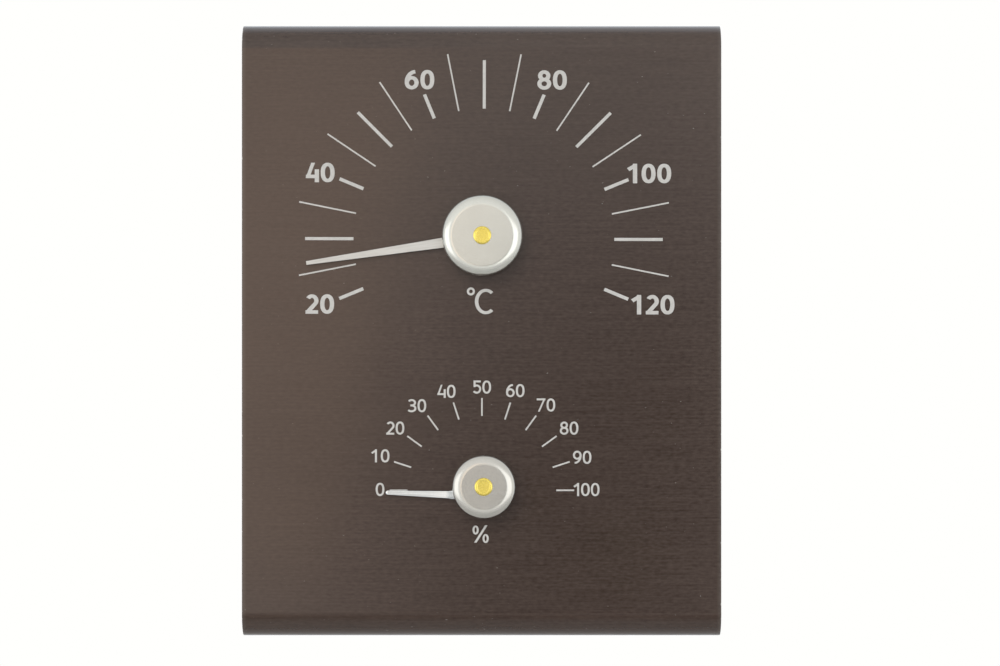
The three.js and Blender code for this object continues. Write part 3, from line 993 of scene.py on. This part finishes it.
def coil_line(dial):
    """Middle line of a coil: a tang across the pin, a bend, then a spiral"""
    first = dial.coil_first
    line = [Vector((-TANG_REACH, 0)), Vector((first - 2 * TANG_BEND, 0))]
    bend_centre = Vector((first - TANG_BEND, TANG_BEND))
    for step in range(CORNER_STEPS + 1):
        line.append(bend_centre + polar(TANG_BEND, -90 + 90 * step / CORNER_STEPS))
    turns = coil_turns(dial)
    steps = round(turns * COIL_STEPS)
    for step in range(1, steps + 1):
        turn = turns * step / steps
        line.append(polar(first + turn * dial.turn_spacing, turn * 360))
    return line


def coil(dial, inner_material, outer_material, slot):
    """Coil of two-layer strip with chamfered edges; the section's first half is the outer layer"""
    half = STRIP_THICKNESS / 2
    flat = half - STRIP_CHAMFER
    low, high = COIL_BASE, COIL_TOP
    side_low, side_high = low + STRIP_CHAMFER, high - STRIP_CHAMFER
    section = (
        (0, low), (flat, low), (half, side_low), (half, side_high), (flat, high),
        (0, high), (-flat, high), (-half, side_high), (-half, side_low), (-flat, low),
    )
    line = coil_line(dial)
    rings = []
    for place, point in enumerate(line):
        before = line[max(place - 1, 0)]
        after = line[min(place + 1, len(line) - 1)]
        along = (after - before).normalized()
        out = Vector((along.y, -along.x))
        rings.append([front(*(point + out * across), height) for across, height in section])
    points, faces = loft(rings)
    layers = [0 if face[0] % len(section) < len(section) // 2 else 1 for face in faces]
    obj = solid(f"{dial.name}_coil_wound", points, faces, [outer_material, inner_material], layers)
    settle(obj, dial, "coil", slot, tang_angle(dial))


def pointer_path(dial):
    """Distance from the axis, height and slope of a pointer's sections, from the tab to the tip"""
    half = dial.thickness / 2
    bend = 2 * dial.thickness
    inner = tab_inner(dial)
    path = [(inner + half, COIL_TOP - TAB_BELOW_STRIP, 0)]
    for step in range(CORNER_STEPS + 1):
        slope = 90 * step / CORNER_STEPS
        arc = polar(bend - half, 180 + slope)
        path.append((inner + bend + arc.x, POINTER_LIFT + bend + arc.y, slope))
    tip = dial.tip_width / 2
    crank_start = dial.root_end + CRANK_LEAD
    stations = [dial.root_end - GAP, dial.root_end, crank_start, dial.crank_end]
    if dial.round_tip:
        stations += [dial.reach - tip + polar(tip, angle).y for angle in range(0, 90, 10)]
    else:
        stations.append(dial.reach - TIP_CHAMFER)
    for along in stations + [dial.reach]:
        down = remapped(along, crank_start, dial.crank_end) * dial.crank_drop
        path.append((along, POINTER_LIFT + half - down, 90))
    return path


def pointer_half_width(dial, along):
    """Half of a pointer's width: an even root, a blade that narrows, and a round or a cut tip"""
    if along < dial.root_end - GAP / 2:
        return dial.root_width / 2
    share = (along - dial.root_end) / (dial.reach - dial.root_end)
    width = (dial.neck_width + share * (dial.tip_width - dial.neck_width)) / 2
    tip = dial.tip_width / 2
    into_tip = along - (dial.reach - tip)
    if dial.round_tip and into_tip > 0:
        return max(math.sqrt(max(tip ** 2 - into_tip ** 2, 0)), 0.15 * tip)
    if not dial.round_tip and along > dial.reach - TIP_CHAMFER / 2:
        return width - TIP_CHAMFER
    return width


def pointer(dial, material, slot):
    """Pointer cut from sheet, its root bent up into a tab; the blade may lie beside the tab's middle"""
    rings = []
    for along, height, slope in pointer_path(dial):
        shift = remapped(along, dial.root_end - GAP, dial.root_end) * dial.blade_shift
        normal = polar(1, slope)
        corners = box_outline(pointer_half_width(dial, along), dial.thickness / 2)
        section = rounded([(*corner, POINTER_ROUNDING) for corner in corners], closed=True)
        rings.append([
            front(along + normal.x * out, dial.offset + shift + across, height + normal.y * out)
            for across, out in section
        ])
    obj = solid(f"{dial.name}_pointer_blade", *loft(rings), [material])
    settle(obj, dial, "pointer", slot, dial.pointer_angle, dial.hand)


def rivet(dial):
    """Rivet through the pointer's tab, with a domed head outside"""
    seat = dial.thickness
    top = seat + RIVET_HEAD_THICKNESS
    shank_edge, head_edge, dome = 0.05 * MM, 0.06 * MM, 0.4 * RIVET_HEAD
    profile = rounded([
        (0, 0, 0),
        (RIVET_SHANK / 2, 0, shank_edge),
        (RIVET_SHANK / 2, seat, 0),
        (RIVET_HEAD / 2, seat, head_edge),
        (RIVET_HEAD / 2, top, dome),
        (0, top, 0),
    ])
    height = (COIL_BASE + COIL_TOP) / 2
    start = tab_inner(dial)
    rings = []
    for radius, along in profile:
        ring = round_outline(radius, sides=RIVET_SIDES)
        rings.append([front(start + along, dial.offset + p.x, height + p.y) for p in ring])
    obj = solid(f"{dial.name}_rivet_domed", *loft(rings), [BRASS])
    settle(obj, dial, "pointer_rivet", "brass", dial.pointer_angle, dial.hand)


def spacer(dial):
    """Fibre washer under the pin's flange"""
    profile = rounded([
        (STUD_HOLE / 2, 0, FINE_ROUNDING),
        (SPACER / 2, 0, FINE_ROUNDING),
        (SPACER / 2, SPACER_THICKNESS, FINE_ROUNDING),
        (STUD_HOLE / 2, SPACER_THICKNESS, FINE_ROUNDING),
    ], closed=True)
    obj = solid(f"{dial.name}_spacer_pressed", *loft(lathe(profile), closed=True), [FIBRE])
    settle(obj, dial, "spacer", "fibre")


def lock_washer(dial):
    """Washer behind the face whose teeth are each given a twist"""
    tooth_share = 0.55
    twist = (WASHER_THICKNESS - WASHER_SHEET) / 2
    middle = -SHEET - WASHER_THICKNESS / 2
    ring_edge = WASHER / 2 - TOOTH_DEPTH

    def toothed(radius, height, degrees):
        if radius <= ring_edge:
            return radius, height
        phase = degrees * TOOTH_COUNT / 360 % 1 / tooth_share
        return (radius, height + (2 * phase - 1) * twist) if phase < 1 else (ring_edge, height)

    low, high = middle - WASHER_SHEET / 2, middle + WASHER_SHEET / 2
    across = (STUD_HOLE / 2, ring_edge, WASHER / 2)
    profile = [(radius, low) for radius in across] + [(radius, high) for radius in reversed(across)]
    rings = lathe(profile, TOOTH_COUNT * TOOTH_STEPS, toothed)
    obj = solid(f"{dial.name}_lock_washer_toothed", *loft(rings, closed=True), [ZINC])
    settle(obj, dial, "lock_washer", "zinc_steel")


def nut(dial):
    """Thin hexagon nut whose corners are turned off at both faces"""
    front_face = -SHEET - WASHER_THICKNESS
    back = front_face - NUT_THICKNESS
    corner = NUT_ACROSS_FLATS / math.sqrt(3)
    flat = NUT_ACROSS_FLATS / 2
    inner = STUD_HOLE / 2
    widened = inner + THREAD_DEPTH
    steps = 6

    def hexagonal(radius, height, degrees):
        if radius <= widened:
            return radius, height
        from_corner = abs((degrees + 30) % 60 - 30)
        return min(flat / math.cos(math.radians(30 - from_corner)), radius), height

    rises = [NUT_CHAMFER * step / steps for step in range(steps + 1)]
    turned_off = [(corner - NUT_CHAMFER + rise, rise) for rise in rises]
    outside = [(radius, back + rise) for radius, rise in turned_off]
    outside += [(radius, front_face - rise) for radius, rise in reversed(turned_off)]
    inside = [
        (widened, front_face),
        (inner, front_face - THREAD_DEPTH),
        (inner, back + THREAD_DEPTH),
        (widened, back),
    ]
    rings = lathe(outside + inside, reshape=hexagonal)
    obj = solid(f"{dial.name}_nut_hexagon", *loft(rings, closed=True), [ZINC])
    settle(obj, dial, "nut", "zinc_steel")


# Stage, light and camera


def towards(tree, direction, target):
    """Cosine of the angle between a direction and a target's direction"""
    inputs = {0: direction, 1: Vector(target).normalized()}
    return node(tree, "ShaderNodeVectorMath", inputs, operation="DOT_PRODUCT").outputs["Value"]


def mirrored_light(tree, direction, up, ahead, behind):
    """What glossy surfaces mirror: a pale dome with a dim patch in front, low and to the right, and
    a brighter side behind"""
    patch_end, patch_full = math.cos(0.17), math.cos(0.075)
    viewer_end, viewer_full = polar(1, 10).x, polar(1, 7).x
    patch = remap(tree, towards(tree, direction, (0.0777, -1, -0.0936)), patch_end, patch_full)
    near_viewer = remap(tree, ahead, viewer_end, viewer_full)
    dim = remap(tree, combine(tree, "MULTIPLY", patch, near_viewer), 0, 1, 1, 0.1)
    above = remap(tree, up, 0, 0.92, 1, 0.86)
    below = remap(tree, up, -0.95, -0.2, 0.52, 1)
    return combine(tree, "MAXIMUM", combine(tree, "MULTIPLY", above, below, dim), behind)


def matt_light(tree, direction, ahead):
    """What lights matt surfaces: a bright place at the upper left, and a weaker side behind"""
    upper_left = remap(tree, towards(tree, direction, (-0.27, -0.83, 0.49)), 0.88, 0.98, 0.05, 4.7)
    return combine(tree, "MAXIMUM", upper_left, remap(tree, ahead, -0.15, 0.1, 0.65, 0))


def surroundings():
    """Surroundings that the camera sees as white, with their own light for glossy and matt surfaces"""
    world = bpy.data.worlds.new("studio")
    bpy.context.scene.world = world
    world.use_nodes = True
    tree = world.node_tree
    tree.nodes.clear()
    direction = node(tree, "ShaderNodeTexCoord").outputs["Generated"]
    _, back, up = node(tree, "ShaderNodeSeparateXYZ", {"Vector": direction}).outputs
    ahead = combine(tree, "MULTIPLY", back, -1)
    behind = remap(tree, ahead, -0.15, 0.15, 1.15, 0)
    ray = node(tree, "ShaderNodeLightPath").outputs
    glossy = ray["Is Glossy Ray"]
    not_glossy = combine(tree, "SUBTRACT", 1, glossy)
    mirrored = combine(tree, "MULTIPLY", mirrored_light(tree, direction, up, ahead, behind), glossy)
    matt = combine(tree, "MULTIPLY", matt_light(tree, direction, ahead), not_glossy)
    seen = combine(tree, "MAXIMUM", ray["Is Camera Ray"], ray["Is Transmission Ray"])
    strength = combine(tree, "MAXIMUM", seen, combine(tree, "ADD", mirrored, matt))
    cool = combine(tree, "MULTIPLY", behind, glossy)
    colour = blend(tree, cool, linear(255, 255, 253), linear(240, 247, 255))
    background = node(tree, "ShaderNodeBackground", {"Color": colour, "Strength": strength})
    node(tree, "ShaderNodeOutputWorld", {"Surface": background.outputs[0]})


def pale_floor():
    """Round floor well below the hanging object, which fades out towards its edge"""
    drop = 0.15
    radius = 0.6
    fade_start, fade_end = 0.35 * radius, 0.98 * radius
    material, tree, shader = new_material("pale_floor")
    inputs = {0: place_on_object(tree), 1: (1, 1, 0)}
    flat = node(tree, "ShaderNodeVectorMath", inputs, operation="MULTIPLY").outputs[0]
    distance = node(tree, "ShaderNodeVectorMath", {0: flat}, operation="LENGTH").outputs["Value"]
    fade = remap(tree, distance, fade_start, fade_end, 1, 0)
    feed(tree, shader, {"Base Color": (0.92, 0.92, 0.92, 1), "Roughness": 0.9, "Alpha": fade})
    outline = round_outline(radius)
    height = SHELL_LOW.z - drop
    floor = solid("floor", [(x, y, height) for x, y in outline], [range(len(outline))], [material])


def softbox(name, sides, heights, radiance, colour=(1, 1, 1), lean=0):
    """Area light that faces the object. It stands between two directions, in degrees to the right of
    straight in front, and between two heights over the middle of the face. It may lean to the right."""
    away = 1.2
    start, end = (polar(away, side - 90) for side in sides)
    low, high = heights
    lamp = bpy.data.lights.new(name, "AREA")
    lamp.shape = "RECTANGLE"
    lamp.size = (end - start).length
    lamp.size_y = high - low
    lamp.energy = radiance * lamp.size * lamp.size_y * math.pi
    lamp.color = colour
    obj = bpy.data.objects.new(name, lamp)
    bpy.context.scene.collection.objects.link(obj)
    middle = (start + end) / 2
    face_middle = (SHELL_LOW.z + SHELL_HIGH.z) / 2
    obj.location = (middle.x, middle.y, face_middle + (low + high) / 2)
    facing = (-middle).to_3d().to_track_quat("-Z", "Y").to_matrix()
    obj.rotation_euler = (facing @ Matrix.Rotation(-math.radians(lean), 3, "Z")).to_euler()
    obj.visible_camera = False


def lights():
    """A tall soft light at each side, and a weaker warm one in front that brightens the face's left"""
    softbox("right_light", sides=(9, 47), heights=(-0.34, 0.24), radiance=0.8)
    softbox("left_light", sides=(-66, -26), heights=(-0.4, 0.28), radiance=0.8)
    warm = (1, 0.6, 0.3)
    softbox("left_wash", sides=(-12, -3.6), heights=(-0.15, 0.22), radiance=0.56, colour=warm, lean=10)


def camera():
    """Level camera with the photograph's place and viewing angle"""
    right, distance, up = 0.004796, 0.8, -0.07161
    view = bpy.data.cameras.new("camera")
    view.lens = 107.74
    view.sensor_width = 36
    obj = bpy.data.objects.new("camera", view)
    obj.location = (right, -distance, up)
    obj.rotation_euler = (math.pi / 2, 0, 0)
    bpy.context.scene.collection.objects.link(obj)
    bpy.context.scene.camera = obj


face_shell()
thermometer_strokes()
hygrometer_strokes()
thermometer_numbers()
hygrometer_numbers()
cap(THERMOMETER, CAP_METAL)
# The hygrometer's cap takes the darker copy of the cap metal, which is painted shade
cap(HYGROMETER, SHADED_CAP_METAL)
for dial in DIALS:
    pin(dial)
    rivet(dial)
    spacer(dial)
    lock_washer(dial)
    nut(dial)
coil(THERMOMETER, STEEL_LAYER, BRONZE_LAYER, "bimetal")
coil(HYGROMETER, STEEL_LAYER, COATED_LAYER, "humidity_strip")
pointer(THERMOMETER, POINTER_METAL, "pointer_aluminium")
pointer(HYGROMETER, BRIGHT_METAL, "bright_strip")
surroundings()
pale_floor()
lights()
camera()
bpy.context.scene.view_settings.view_transform = "Standard"
